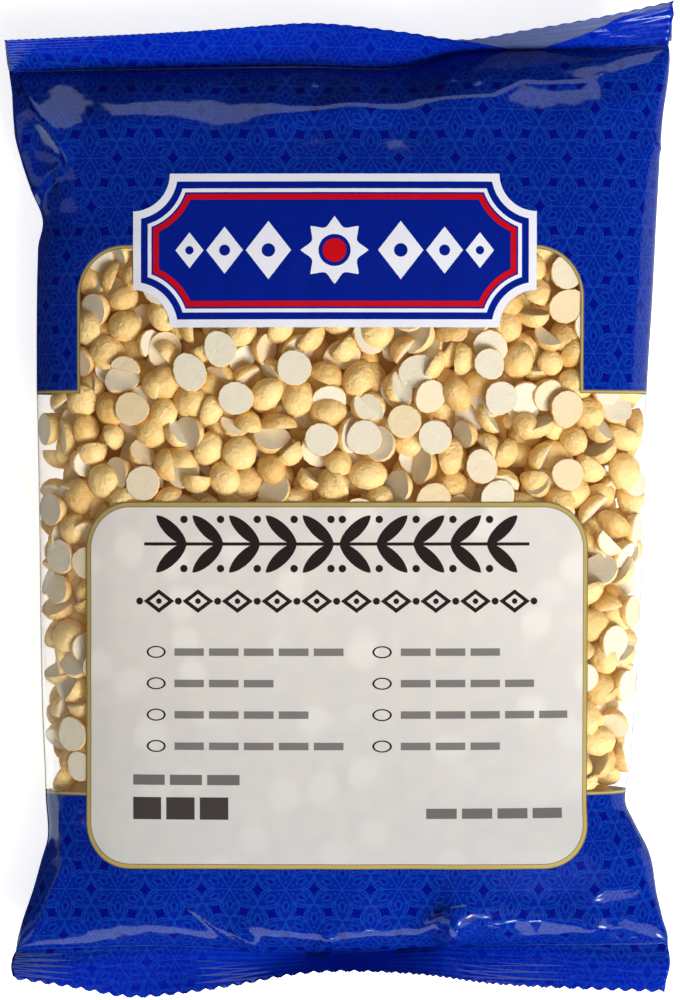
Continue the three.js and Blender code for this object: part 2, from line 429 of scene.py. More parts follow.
class Shader:
    """A material whose nodes are added one call at a time."""

    def __init__(self, name):
        self.material = bpy.data.materials.new(name)
        self.material.use_nodes = True
        self.tree = self.material.node_tree
        self.tree.nodes.clear()

    def node(self, kind, settings=None, inputs=None):
        node = self.tree.nodes.new(kind)
        for key, setting in (settings or {}).items():
            if key == "stops":
                for stop, (place, shade) in zip(node.color_ramp.elements, setting):
                    stop.position, stop.color = place, (*shade, 1)
            else:
                setattr(node, key, setting)
        for key, value in (inputs or {}).items():
            if isinstance(value, Value):
                value = value.socket
            if isinstance(value, bpy.types.NodeSocket):
                self.tree.links.new(value, node.inputs[key])
            else:
                node.inputs[key].default_value = value
        return node

    def value(self, node, output=0):
        return Value(self, node.outputs[output])

    def math(self, operation, *values, clamp=False):
        settings = {"operation": operation, "use_clamp": clamp}
        return self.value(self.node("ShaderNodeMath", settings, dict(enumerate(values))))

    def larger(self, a, b):
        return self.math("MAXIMUM", a, b)

    def smaller(self, a, b):
        return self.math("MINIMUM", a, b)

    def hypot(self, a, b):
        return self.math("SQRT", a * a + b * b)

    def mix(self, factor, below, above):
        """Colour above over colour below."""
        below, above = ((*c, 1) if isinstance(c, (tuple, list)) else c for c in (below, above))
        inputs = {0: factor, 6: below, 7: above}
        return self.node("ShaderNodeMix", {"data_type": "RGBA"}, inputs).outputs[2]

    def blend(self, factor, below, above):
        """Number above over number below."""
        return factor * above + (1 - factor) * below

    def inside(self, distance, softness=0.06):
        """1 where a signed distance in millimetres is below 0, with a thin soft edge."""
        return (0.5 - distance * (1 / softness)).clamp()

    def between(self, distance, low, high, softness=0.06):
        half = (high - low) / 2
        return self.inside(abs(distance - (low + half)) - half, softness)

    def box(self, x, y, half_x, half_y):
        return self.larger(abs(x) - half_x, abs(y) - half_y)

    def rounded_box(self, x, y, half_x, half_y, radius):
        """Signed distance to a box with round corners."""
        qx, qy = abs(x) - (half_x - radius), abs(y) - (half_y - radius)
        outside = self.hypot(self.larger(qx, 0), self.larger(qy, 0))
        return outside + self.smaller(self.larger(qx, qy), 0) - radius

    def noise(self, vector, scale, detail=2.0, roughness=0.5):
        inputs = {"Vector": vector, "Scale": scale, "Detail": detail, "Roughness": roughness}
        return self.value(self.node("ShaderNodeTexNoise", None, inputs))

    def bump(self, height, strength, distance):
        inputs = {"Height": height, "Strength": strength, "Distance": distance}
        return self.node("ShaderNodeBump", None, inputs).outputs[0]

    def finish(self, shader_socket):
        self.node("ShaderNodeOutputMaterial", None, {"Surface": shader_socket})
        return self.material


def rgb(setting):
    return tuple(setting)


# ------------------------------------------------------------------------- the print on the film

# The flat film's corner and size, which its UV map runs over
FLAT_LOW = (-GIRTH / 2 - LAP, -128.0)
FLAT_SIZE = (GIRTH + 2 * LAP, 256.0)

# Places on the flat film in millimetres, across from the front's middle and along the bag
UPPER_BAND_END = 23.4
LOWER_BAND_END = -62.9
WINDOW = {"middle": -2.8, "half": 54.6, "top": 54.1, "radius": 11}
WINDOW_BOTTOM = 0.0
PANEL = {"middle": -1.2, "half": 54.1, "top": -0.4, "bottom": -78.6, "radius": 10}
BORDER = 1.15
EDGE_LINE = 0.75
PLAQUE = {"across": -1.65, "along": 52.9, "half_across": 43, "half_along": 16.4, "notch": 8}
SEAL_MIDDLE, SEAL_REACH = -1.75, 99.3  # middle of the flat film, and from there to a seal
LATTICE = 12.0  # spacing of the lattice's flowers
PETAL = LATTICE / math.sqrt(3)


def hexagon_cell(s, x, y):
    """Coordinates from the nearest point of a triangular grid of spacing LATTICE."""
    tall = LATTICE * math.sqrt(3)
    x1, y1 = x % LATTICE - LATTICE / 2, y % tall - tall / 2
    x2, y2 = (x + LATTICE / 2) % LATTICE - LATTICE / 2, (y + tall / 2) % tall - tall / 2
    first = (x1 * x1 + y1 * y1) < (x2 * x2 + y2 * y2)
    return s.blend(first, x2, x1), s.blend(first, y2, y1)


def lattice_ink(s, x, y):
    """Masks of the traditional six-petal lattice: its light lines and its dark fields."""
    cell_x, cell_y = hexagon_cell(s, x, y)
    reach = s.hypot(cell_x, cell_y)
    sixth = math.pi / 3
    fold = abs(s.math("ARCTAN2", cell_y, cell_x) % sixth - sixth / 2)
    along = reach * s.math("COSINE", fold)
    aside = reach * s.math("SINE", fold)

    def petal(width):
        drop = (PETAL ** 2 / 4 - width ** 2) / (2 * width)
        return s.hypot(along - PETAL / 2, aside + drop) - (width + drop)

    outer, inner = petal(2.15), petal(1.55)
    line = s.larger(s.between(outer, -0.11, 0.11, 0.12), s.between(inner, -0.09, 0.09, 0.12))
    diamond = abs(along - PETAL * 0.55) * 0.7 + aside - 1.0
    line = s.larger(line, s.between(diamond, -0.2, 0.0, 0.12))
    line = s.larger(line, s.inside(s.hypot(along - PETAL * 0.25, aside) - 0.22, 0.12))
    spoke_along = along * math.cos(sixth / 2) + aside * math.sin(sixth / 2)
    spoke_aside = abs(along * math.sin(sixth / 2) - aside * math.cos(sixth / 2))
    line = s.larger(line, s.inside(spoke_aside - 0.1, 0.12))
    crook = s.hypot(spoke_along - LATTICE * 0.36, spoke_aside - 1.0) - 0.95
    line = s.larger(line, s.between(crook, -0.09, 0.09, 0.12) * 0.8)
    star = abs(spoke_along - LATTICE / 2) * 0.75 + spoke_aside - 1.05
    field = s.larger(s.inside(star, 0.3), s.inside(-outer - 0.1, 0.6) * 0.35)
    field = s.larger(field, s.inside(s.hypot(along - PETAL * 0.55, aside) - 0.45, 0.3) * 0.8)
    line = line * (1 - s.inside(star, 0.2))
    return line, field


def plaque_print(s, x, y, settings):
    """The plaque's mask and colour: a ticket shape with a rosette between lozenges."""
    a, b = abs(x - PLAQUE["across"]), abs(y - PLAQUE["along"])
    from_corner = s.hypot(a - PLAQUE["half_across"], b - PLAQUE["half_along"])
    edge = s.larger(a - PLAQUE["half_across"], b - PLAQUE["half_along"])
    edge = s.larger(edge, PLAQUE["notch"] - from_corner)
    white, red, blue = rgb(settings.white), rgb(settings.red), (0.001, 0.010, 0.20)
    ink = s.mix(s.inside(edge + 1.7), white, blue)
    ink = s.mix(s.between(edge, -4.0, -3.2), ink, white)
    ink = s.mix(s.between(edge, -5.6, -4.4), ink, red)
    reach = s.hypot(a, b)
    turn = s.math("ARCTAN2", b, a)
    petals = reach - 7.2 + 2.0 * abs(s.math("SINE", turn * 4.0))
    ink = s.mix(s.inside(petals), ink, white)
    ink = s.mix(s.inside(reach - 3.4), ink, blue)
    ink = s.mix(s.inside(reach - 2.5), ink, red)
    for middle, half_a, half_b in ((14.0, 4.8, 6.2), (23.3, 3.9, 5.0), (30.8, 3.0, 3.8)):
        lozenge = abs(a - middle) * (1 / half_a) + b * (1 / half_b) - 1
        ink = s.mix(s.inside(lozenge * half_b), ink, white)
        ink = s.mix(s.inside(s.hypot(a - middle, b) - half_a * 0.3), ink, blue)
    return s.inside(edge), ink


def dashes(s, x, y, start, middle, pitch, count, half_tall):
    """A row of plain bars."""
    number = s.math("FLOOR", (x - start) / pitch)
    bar = s.box((x - start) % pitch - pitch / 2, y - middle, pitch / 2 - 0.55, half_tall)
    return s.inside(bar) * (number < count) * (number > -0.5)


def panel_marks(s, x, y):
    """Dark marks on the panel: a sprig, a chain of lozenges, and rows of plain bars."""
    a = abs(x - PANEL["middle"])
    up = abs(y + 9.3)
    step = 7.8
    leaf_x = a % step - step / 2
    lean_x = leaf_x * 0.72 + (up - 2.9) * 0.69
    lean_y = (up - 2.9) * 0.72 - leaf_x * 0.69
    leaf = s.hypot(lean_x * 0.48, abs(lean_y) + 1.0) - 2.4
    pods = s.hypot(leaf_x + 2.7, up - 5.2) - 0.8
    marks = s.inside(s.larger(s.smaller(leaf, pods), a - 5 * step))
    marks = s.larger(marks, s.inside(s.box(a, up, 41.0, 0.35)))
    down = abs(y + 21.4)
    step = 8.4
    link_x = abs(a % step - step / 2)
    link = link_x * 0.75 + down - 2.5
    chain = s.larger(s.between(link, -1.0, 0.0), s.inside(s.hypot(link_x, down) - 0.6))
    chain = s.larger(chain, s.inside(s.hypot(link_x - step / 2, down) - 0.75))
    marks = s.larger(marks, chain * s.inside(a - 5 * step - 0.75))
    step = 6.65
    row = (y + 35.5) % step - step / 2
    number = s.math("FLOOR", (y + 35.5) / step)
    rows = s.between(y, -54.8, -28.8, 0.1)
    for start, badge in ((-36.2, -39.6), (11.8, 8.4)):
        count = 3.6 + 1.1 * s.math("SINE", number * 2.3 + start)
        bars = dashes(s, x, row, start, 0, 7.4, count, 0.8) * 0.75
        badge_ring = s.hypot((x - badge) * 0.62, row) - 1.15
        marks = s.larger(marks, s.larger(bars, s.between(badge_ring, -0.14, 0.14)) * rows)
    marks = s.larger(marks, dashes(s, x, y, -45.2, -59.3, 8.0, 2.5, 1.1) * 0.8)
    marks = s.larger(marks, dashes(s, x, y, -45.2, -65.4, 7.2, 2.5, 2.4) * 0.95)
    return s.larger(marks, dashes(s, x, y, 17.2, -66.5, 7.6, 3.5, 1.1) * 0.8)


def printed_film(settings):
    """Glossy clear film with fields of ink, which hide or veil what is behind them."""
    s = Shader("printed_film")
    flat = s.node("ShaderNodeUVMap", {"uv_map": "flat_film"}).outputs[0]
    split = s.node("ShaderNodeSeparateXYZ", None, {0: flat})
    x = s.value(split, 0) * FLAT_SIZE[0] + FLAT_LOW[0]
    y = s.value(split, 1) * FLAT_SIZE[1] + FLAT_LOW[1]

    line, field = lattice_ink(s, x, y)
    blue = s.mix(field, rgb(settings.blue), rgb(settings.blue_dark))
    # Painted light: the seals are painted half way to a lighter blue and, where the middle of the
    # bottom seal stands up, all the way to the lit blue, for the light they catch.
    sealed = (abs(y - SEAL_MIDDLE) * 0.5 - SEAL_REACH * 0.5).clamp()
    standing = (1 - abs(x + 3) * (1 / 32)).clamp() * (y < 0)
    blue = s.mix(sealed * (0.5 + 0.5 * standing), blue, s.mix(
        standing, rgb(settings.blue_seal_lit), rgb(settings.blue_lit)))
    blue = s.mix(line * 0.5, blue, rgb(settings.blue_line))

    # The same fields lie on the back, half a girth away
    face_x = GIRTH / 4 - abs(abs(x) - GIRTH / 4)
    front = s.inside(abs(x) - GIRTH / 4, 0.01)
    window_middle = (WINDOW["top"] + WINDOW_BOTTOM) / 2
    window_half = (WINDOW["top"] - WINDOW_BOTTOM) / 2
    here_x = s.blend(front, face_x, x)
    window = s.rounded_box(here_x - WINDOW["middle"], y - window_middle, WINDOW["half"],
                           window_half, WINDOW["radius"])
    band_middle = (UPPER_BAND_END + LOWER_BAND_END) / 2
    clear_band = abs(y - band_middle) - (UPPER_BAND_END - LOWER_BAND_END) / 2
    clear = s.smaller(window, clear_band)
    panel = s.rounded_box(here_x - PANEL["middle"], y - (PANEL["top"] + PANEL["bottom"]) / 2,
                          PANEL["half"], (PANEL["top"] - PANEL["bottom"]) / 2, PANEL["radius"])
    plaque, plaque_ink = plaque_print(s, x, y, settings)

    gold = s.mix(s.between(clear, -EDGE_LINE + 0.18, -0.18), rgb(settings.olive),
                 rgb(settings.gold))
    blue_mask = s.inside(-clear)
    line_mask = s.between(clear, -EDGE_LINE, 0)
    panel_mask = s.inside(panel)
    panel_fill = s.inside(panel + BORDER)
    border = s.mix(s.between(panel, -BORDER + 0.15, -0.2), rgb(settings.olive), rgb(settings.gold))
    ink = s.mix(blue_mask, gold, blue)
    # Painted light: the panel's ink turns lighter where a grain lies close behind it, warm over a
    # skin and pale over a split face.
    near, pale = (s.value(s.node("ShaderNodeAttribute", {"attribute_name": key}), "Fac")
                  for key in ("near", "pale"))
    behind = s.mix(pale, rgb(settings.panel_lit_by_skin), rgb(settings.panel_lit_by_face))
    panel_ink = s.mix(near, rgb(settings.panel), behind)
    # Painted shade: the panel's ink darkens towards its foot.
    low = ((y + 25) * (-1 / 48)).clamp()
    panel_ink = s.mix(low, panel_ink, s.mix(0.7, panel_ink, rgb(settings.panel_painted_shade)))
    ink = s.mix(panel_mask, ink, s.mix(panel_fill, border, panel_ink))
    marks = panel_marks(s, x, y) * panel_fill * front
    ink = s.mix(marks, ink, rgb(settings.dark))
    ink = s.mix(plaque, ink, plaque_ink)
    printed = s.larger(s.larger(blue_mask, line_mask), s.larger(panel_mask, plaque))

    veil = s.blend(panel_fill * (1 - marks) * (1 - plaque), 0.995, 0.9)
    facing = s.value(s.node("ShaderNodeLayerWeight", None, {"Blend": 0.5}), "Facing")
    shine = 0.07 + 0.93 * s.math("POWER", facing, 4.0)
    cover = s.blend(printed, shine, veil)
    geometry = s.node("ShaderNodeTexCoord").outputs["Object"]
    ripple = s.noise(geometry, 160.0, 2.0)
    normal = s.bump(ripple, 0.25, 0.0006)
    surface = s.node("ShaderNodeBsdfPrincipled", None, {
        "Base Color": s.mix(printed, (1, 1, 1), ink),
        "Metallic": 1 - printed,
        "Roughness": s.blend(printed, 0.06, 0.1),
        "Normal": normal,
        "IOR": 1.5,
        # Painted light: the panel glows by emission, for light that comes back through its ink.
        "Emission Color": s.mix(panel_fill * (1 - marks) * (1 - plaque), (0, 0, 0),
                                rgb(settings.panel_glow)),
        "Emission Strength": 1.0,
    }).outputs[0]
    see_through = s.node("ShaderNodeBsdfTransparent").outputs[0]
    both = s.node("ShaderNodeMixShader", None, {0: cover, 1: see_through, 2: surface}).outputs[0]
    return s.finish(both)


def film_inside(settings):
    s = Shader("film_inside")
    place = s.node("ShaderNodeTexCoord").outputs["Object"]
    mottle = s.noise(place, 400.0, 2.0)
    base = s.mix(mottle, rgb(settings.inside), tuple(0.7 * c for c in settings.inside))
    return s.finish(s.node("ShaderNodeBsdfPrincipled", None, {
        "Base Color": base, "Roughness": 0.35,
    }).outputs[0])


def roasted_dal(settings):
    """Dry roasted chickpea: a mottled tan skin and a pale, finely grained split face."""
    s = Shader("roasted_dal")
    place = s.node("ShaderNodeTexCoord").outputs["Object"]
    skin = s.value(s.node("ShaderNodeAttribute", {"attribute_name": "skin"}), "Fac")
    tone = s.value(s.node("ShaderNodeAttribute", {"attribute_name": "tone"}), "Fac")
    broad = s.noise(place, 320.0, 4.0, 0.7)
    fine = s.noise(place, 1500.0, 2.0, 0.6)
    roast = (broad * 1.6 + tone * 1.1 - 1.15).clamp()
    tan = s.mix(roast, rgb(settings.skin), rgb(settings.skin_dark))
    toasted = (tone * 2.2 + fine * 0.5 + broad * 0.7 - 1.8).clamp()
    face_shade = s.mix(toasted, rgb(settings.face), rgb(settings.face_tan))
    base = s.mix(skin, face_shade, tan)
    wrinkles = s.noise(place, 430.0, 4.0, 0.68)
    height = s.blend(skin, wrinkles * 0.25, wrinkles) + fine * 0.15
    return s.finish(s.node("ShaderNodeBsdfPrincipled", None, {
        "Base Color": base,
        "Roughness": s.blend(skin, 0.85, 0.5),
        "Normal": s.bump(height, 0.75, 0.0011),
        "Specular IOR Level": 0.4,
        # Painted light: a faint emission stands for light coming back out of the grains and lifts
        # their shade.
        "Emission Color": (*settings.glow, 1),
        "Emission Strength": 1.0,
    }).outputs[0])


def heap_shade(settings):
    s = Shader("heap_shade")
    place = s.node("ShaderNodeTexCoord").outputs["Object"]
    mottle = s.noise(place, 190.0, 2.0)
    base = s.mix(mottle, rgb(settings.shade), rgb(settings.skin_dark))
    return s.finish(s.node("ShaderNodeBsdfPrincipled", None, {
        "Base Color": base, "Roughness": 0.9, "Normal": s.bump(mottle, 0.6, 0.002),
    }).outputs[0])


def floor_paint(settings):
    s = Shader("floor_paint")
    place = s.node("ShaderNodeTexCoord").outputs["Object"]
    grain = s.noise(place, 40.0, 2.0)
    base = s.mix(grain, rgb(settings.floor), tuple(0.98 * c for c in settings.floor))
    return s.finish(s.node("ShaderNodeBsdfPrincipled", None, {
        "Base Color": base, "Roughness": 0.8, "Emission Color": base, "Emission Strength": 1.1,
    }).outputs[0])


# ------------------------------------------------------------------------------- the split chickpeas

FINE_SHAPE, COARSE_SHAPE = (14, 8), (8, 4)  # segments round a grain and from pole to pole
# How each kind differs: length, width, thickness, beak, dent, and its share of the heap
KINDS = {
    "dal_round": (1.00, 0.97, 1.00, 0.03, 0.012, 0.27),
    "dal_oval": (1.10, 0.92, 0.97, 0.04, 0.015, 0.22),
    "dal_beaked": (1.04, 0.96, 1.06, 0.11, 0.012, 0.18),
    "dal_flat": (1.03, 1.00, 0.84, 0.04, 0.022, 0.14),
    "dal_small": (0.88, 0.84, 0.92, 0.04, 0.02, 0.14),
    "dal_broken": (0.98, 0.92, 0.95, 0.03, 0.01, 0.05),
}
SIM_UNIT = 0.01  # metres in one unit of the settling, which runs at 100 times the real size
SETTLE_FRAMES, QUICK_FRAMES = 42, 8
FILL_ENDS = (-81.0, 81.0)
DEEPEST = 14.0  # grains farther in than this are never seen
FILM_CLEARANCE = 0.12
# The pile lies under the film again for each of these shifts: round, along and into the bag
PILES = ((0, 0, 0), (61.3, 47.9, 5.5), (-38.2, 23.7, 0.6))
STANDING = 0.42  # share of the outer grains that stand on edge
SIZES = (0.93, 1.05)  # smallest and largest grain against its kind


def split_chickpea(name, settings, fineness):
    """A low mesh of one half: a dome with a beak and dents over a flat face with a worn rim."""
    long, wide, thick, beak, dent, _ = KINDS[name]
    radius, depth = settings.width / 2, settings.depth
    bm = bmesh.new()
    skin = bm.faces.layers.float.new("skin")
    around, upward = fineness
    bmesh.ops.create_uvsphere(bm, u_segments=around, v_segments=upward, radius=1)
    for face in bm.faces:
        face[skin] = 1
    cuts = [((0, 0, 0), (0, 0, -1))]
    if name == "dal_broken":
        cuts.append(((0.12, 0, 0), (1, 0.25, 0.2)))
    for place, way in cuts:
        everything = bm.verts[:] + bm.edges[:] + bm.faces[:]
        bmesh.ops.bisect_plane(bm, geom=everything, dist=0.001, plane_co=place, plane_no=way,
                               clear_outer=True)
        open_edges = [edge for edge in bm.edges if edge.is_boundary]
        for face in bmesh.ops.holes_fill(bm, edges=open_edges, sides=0)["faces"]:
            face[skin] = 0
    rim = [edge for edge in bm.edges if edge.calc_face_angle(0) > math.radians(50)]
    bevelled = bmesh.ops.bevel(bm, geom=rim, offset=0.05, offset_type="OFFSET",
                               affect="EDGES", segments=1, profile=0.5, material=-1)
    for face in bevelled["faces"]:
        face[skin] = 0.75
    for vert in bm.verts:
        x, y, z = vert.co
        pull = beak * max(x, 0) ** 3
        bulge = 1 - dent * math.sin(3 * math.atan2(y, x) + 5 * long) * (1 - 0.5 * z)
        vert.co = ((x + pull) * long * bulge * radius,
                   y * wide * bulge * (1 - beak * max(x, 0)) * radius,
                   (z ** 0.9 * (1 + 0.08 * x) * depth * thick if z > 0 else 0))
    middle = sum((v.co for v in bm.verts), Vector()) / len(bm.verts)
    bmesh.ops.translate(bm, verts=bm.verts, vec=-middle)
    bmesh.ops.recalc_face_normals(bm, faces=bm.faces)
    for face in bm.faces:
        face.smooth = len(face.verts) <= 4
    mesh = bpy.data.meshes.new(name)
    bm.to_mesh(mesh)
    bm.free()
    return mesh


def wall(collection, low, high):
    """A block that the grains can't pass, for the settling alone."""
    bm = bmesh.new()
    bmesh.ops.create_cube(bm, size=1)
    low, high = Vector(low), Vector(high)
    bmesh.ops.translate(bm, verts=bm.verts, vec=(0.5, 0.5, 0.5))
    bmesh.ops.scale(bm, verts=bm.verts, vec=high - low)
    bmesh.ops.translate(bm, verts=bm.verts, vec=low)
    mesh = bpy.data.meshes.new("wall")
    bm.to_mesh(mesh)
    bm.free()
    block = bpy.data.objects.new("wall", mesh)
    collection.objects.link(block)
    return block


def settle(hulls, settings):
    """Drops the grains on the flat film, seen from inside, and returns (kind, matrix) for each.

    X runs backwards round the film, Y along it and Z into the bag."""
    scene = bpy.context.scene
    draw = np.random.default_rng(settings.seed)
    wide, long = GIRTH / 10, (FILL_ENDS[1] - FILL_ENDS[0]) / 10
    group = bpy.data.collections.new("settling")
    scene.collection.children.link(group)
    tall, thick = 30, 1
    walls = [wall(group, *ends) for ends in (
        ((-thick, -thick, -thick), (wide + thick, long + thick, 0)),
        ((-thick, -thick, 0), (0, long + thick, tall)),
        ((wide, -thick, 0), (wide + thick, long + thick, tall)),
        ((0, -thick, 0), (wide, 0, tall)),
        ((0, long, 0), (wide, long + thick, tall)),
    )]
    names = list(KINDS)
    shares = np.array([KINDS[name][-1] for name in names])
    kinds = draw.choice(len(names), settings.count, p=shares / shares.sum())
    cell = 0.88
    columns, rows = int(wide / cell), int(long / cell)
    for hull in hulls:
        hull.transform(Matrix.Scale(1.03 / SIM_UNIT, 4))
    grains = []
    for i, kind in enumerate(kinds):
        layer, rest = divmod(i, columns * rows)
        column, row = divmod(rest, rows)
        grain = bpy.data.objects.new("grain", hulls[kind])
        jitter = draw.uniform(-0.04, 0.04, 3)
        grain.location = ((column + 0.5) * wide / columns + jitter[0],
                          (row + 0.5) * long / rows + jitter[1], 0.5 + layer * 0.9 + jitter[2])
        grain.rotation_mode = "QUATERNION"
        grain.rotation_quaternion = Quaternion(draw.normal(size=4)).normalized()
        group.objects.link(grain)
        grains.append(grain)
    bpy.ops.rigidbody.world_add()
    world = scene.rigidbody_world
    world.collection = group
    world.substeps_per_frame, world.solver_iterations = 6, 8
    frames = SETTLE_FRAMES
    world.point_cache.frame_start, world.point_cache.frame_end = 1, frames
    bpy.context.view_layer.update()
    bpy.ops.object.select_all(action="DESELECT")
    for body in grains + walls:
        body.select_set(True)
    bpy.context.view_layer.objects.active = grains[0]
    bpy.ops.rigidbody.objects_add(type="ACTIVE")
    for body in grains + walls:
        rigid = body.rigid_body
        rigid.collision_shape = "CONVEX_HULL"
        rigid.friction, rigid.restitution = 0.4, 0
        rigid.use_margin, rigid.collision_margin = True, 0.004
        rigid.linear_damping, rigid.angular_damping = 0.1, 0.2
    for block in walls:
        block.rigid_body.type = "PASSIVE"
    for number in range(1, frames + 1):
        scene.frame_set(number)
    settled = [(int(kind), grain.matrix_world.copy()) for kind, grain in zip(kinds, grains)]
    bpy.ops.rigidbody.world_remove()
    for body in grains + walls:
        bpy.data.objects.remove(body)
    bpy.data.collections.remove(group)
    for hull in hulls:
        bpy.data.meshes.remove(hull)
    scene.frame_set(1)
    return settled


def tipped(turn, which, draw):
    """The rotations with those chosen tipped over, about any line along the film."""
    about = draw.uniform(0, 2 * np.pi, len(turn))
    by = np.where(which, np.radians(draw.uniform(50, 105, len(turn))), 0)[:, None, None]
    cross = np.zeros((len(turn), 3, 3))
    cross[:, 0, 2], cross[:, 1, 2] = np.sin(about), -np.cos(about)
    cross -= cross.transpose(0, 2, 1)
    return (np.eye(3) + np.sin(by) * cross + (1 - np.cos(by)) * cross @ cross) @ turn


def pack_under_film(settled, shapes, settings):
    """Bends the settled layer round the bag and drops the grains that the bag has no room for."""
    draw = np.random.default_rng(settings.seed + 2)
    kinds = np.array([kind for kind, _ in settled] * len(PILES))
    matrices = np.array([matrix for _, matrix in settled] * len(PILES))
    pile = np.arange(len(kinds)) // len(settled)
    shift = np.array(PILES, float)[pile]
    around = GIRTH / 2 - matrices[:, 0, 3] * 10 + shift[:, 0]
    around = np.mod(around + GIRTH / 2, GIRTH) - GIRTH / 2
    along = matrices[:, 1, 3] * 10 + shift[:, 1]
    along = FILL_ENDS[0] + np.mod(along, FILL_ENDS[1] - FILL_ENDS[0])
    deep = matrices[:, 2, 3] * 10 + shift[:, 2]
    filler = pile == 2
    standing = filler | ((pile == 0) & (deep < 4.5) & (draw.uniform(size=len(deep)) < STANDING))
    turned = tipped(matrices[:, :3, :3], standing, draw)
    normal = TUBE.normal(around, along)
    ahead = TUBE.place(around + 0.5, along) - TUBE.place(around - 0.5, along)
    ahead -= normal * np.sum(ahead * normal, axis=1, keepdims=True)
    ahead /= np.linalg.norm(ahead, axis=1, keepdims=True)
    up = np.cross(normal, ahead)
    turn = np.stack([-ahead, up, -normal], axis=2) @ turned
    centre = TUBE.place(around, along) - normal * deep[:, None]

    # A curved film leaves less room for a wide grain: it moves in until it's clear
    most = max(len(shape.vertices) for shape in shapes)
    corners = np.array([np.resize([vert.co / MM for vert in shape.vertices], (most, 3))
                        for shape in shapes])[kinds] * SIZES[1]
    spread = np.einsum("gij,gvj->gvi", turned, corners)
    near = around[:, None] - spread[..., 0], along[:, None] + spread[..., 1]
    film, outward = TUBE.place(*near), TUBE.normal(*near)
    bent = np.einsum("gij,gvj->gvi", turn, corners)
    for _ in range(2):
        through_film = np.sum((bent + centre[:, None] - film) * outward, axis=2).max(axis=1)
        centre -= normal * (through_film + FILM_CLEARANCE).clip(0)[:, None]

    front = np.abs(around) < GIRTH / 4
    height = centre[:, 2] - SEAM_HEIGHT
    fits = np.where(front, height > -1.5, height < 1.5) & (deep > 0) & (deep < DEEPEST)
    half, thick = settings.width / MM / 2, settings.depth / MM
    kept = []
    loose, few = np.where(filler, 0.8, 0.5), np.where(filler, 1, 4)
    for i in np.argsort(deep + filler):
        if not fits[i]:
            continue
        others = np.array(kept, int)
        others = others[np.linalg.norm(centre[others] - centre[i], axis=1) < 2 * half]
        # The other grains' corners in this grain's own directions
        offset = (bent[others] + (centre[others] - centre[i])[:, None]) @ turn[i]
        inside = ((offset[..., :2] ** 2).sum(axis=2) / half ** 2
                  + (offset[..., 2] / (thick / 2)) ** 2) < loose[i]
        if not np.any(inside.sum(axis=1) > few[i]):
            kept.append(i)
    packed = []
    for i in kept:
        matrix = Matrix(turn[i].tolist()).to_4x4()
        matrix.translation = Vector(centre[i] * MM)
        packed.append((kinds[i], matrix))
    return packed


def joined_grains(name, shape, matrices, draw):
    """One mesh of many copies, each a little different in size and roast."""
    bm = bmesh.new()
    for matrix in matrices:
        grain = shape.copy()
        grain.transform(matrix @ Matrix.Diagonal((*draw.uniform(*SIZES, 3), 1)))
        bm.from_mesh(grain)
        bpy.data.meshes.remove(grain)
    mesh = bpy.data.meshes.new(name)
    bm.to_mesh(mesh)
    bm.free()
    skin = np.empty(len(shape.polygons), np.float32)
    shape.attributes["skin"].data.foreach_get("value", skin)
    tone = draw.uniform(size=len(matrices))
    for key, values in (("skin", np.tile(skin, len(matrices))),
                        ("tone", np.repeat(tone, len(shape.polygons)))):
        mesh.attributes.new(key, "FLOAT", "FACE").data.foreach_set("value", values)
    return mesh


def core_mesh():
    """The heap's inside, behind the grains that show: the bag's form drawn in."""
    bm = bmesh.new()
    bmesh.ops.create_uvsphere(bm, u_segments=64, v_segments=40, radius=1)
    share_across, share_along, share_up = 0.86, 0.92, 0.42
    for vert in bm.verts:
        x, up, y = vert.co.x, vert.co.y, vert.co.z
        ring = max(math.sqrt(x * x + up * up), 1e-6)
        along = MIDDLE + y * share_along * (TOP_SEAL - MIDDLE)
        spot = film_point(np.array(x / ring), np.array(along), np.array(1.0 if up > 0 else -1.0))
        vert.co = (spot[0] * share_across * MM, spot[1] * MM,
                   (SEAM_HEIGHT + (spot[2] - SEAM_HEIGHT) * share_up) * MM)
    bmesh.ops.remove_doubles(bm, verts=bm.verts, dist=0.00001)
    bmesh.ops.recalc_face_normals(bm, faces=bm.faces)
    for face in bm.faces:
        face.smooth = True
    mesh = bpy.data.meshes.new("heap_core")
    bm.to_mesh(mesh)
    bm.free()
    return mesh


# -------------------------------------------------------------------------------------- the film

SEAL_STEP, END_STEP, BODY_STEP = 0.42, 0.6, 1.2  # the rows' spacing
END_LENGTH = 22.0  # of the closely spaced rows beside each seal
FRONT_STEP, BACK_STEP = 0.75, 1.5  # the columns' spacing
TOOTH_PITCH = 4 * FRONT_STEP
LINING_LIFT = 0.05
GAP_LIMIT = 4.0  # grains farther behind the film don't matter to it


def film_rows():
    ends = (BOTTOM_SEAL - SEAL_WIDTH, BOTTOM_SEAL, BOTTOM_SEAL + END_LENGTH,
            TOP_SEAL - END_LENGTH, TOP_SEAL, TOP_SEAL + SEAL_WIDTH)
    steps = (SEAL_STEP, END_STEP, BODY_STEP, END_STEP, SEAL_STEP)
    return np.concatenate([np.arange(ends[i], ends[i + 1] - steps[i] / 2, steps[i])
                           for i in range(len(steps))] + [[ends[-1]]])


def film_columns():
    half = GIRTH / 4
    front = np.arange(-half, half + FRONT_STEP / 2, FRONT_STEP)
    back = np.arange(half + BACK_STEP, GIRTH / 2 + LAP + BACK_STEP / 2, BACK_STEP)
    return np.concatenate([-back[::-1], front, back])


def soften(table, times):
    """Averages each value with its neighbours."""
    for _ in range(times):
        padded = np.pad(table, 1, mode="edge")
        table = (padded[:-2, 1:-1] + padded[2:, 1:-1] + padded[1:-1, :-2] + padded[1:-1, 2:]
                 + 2 * table) / 6
    return table


def least_near(table):
    """The lowest of each value and its neighbours."""
    padded = np.pad(table, 1, mode="edge")
    rows, columns = table.shape
    return np.min([padded[i:i + rows, j:j + columns] for i in range(3) for j in range(3)], axis=0)


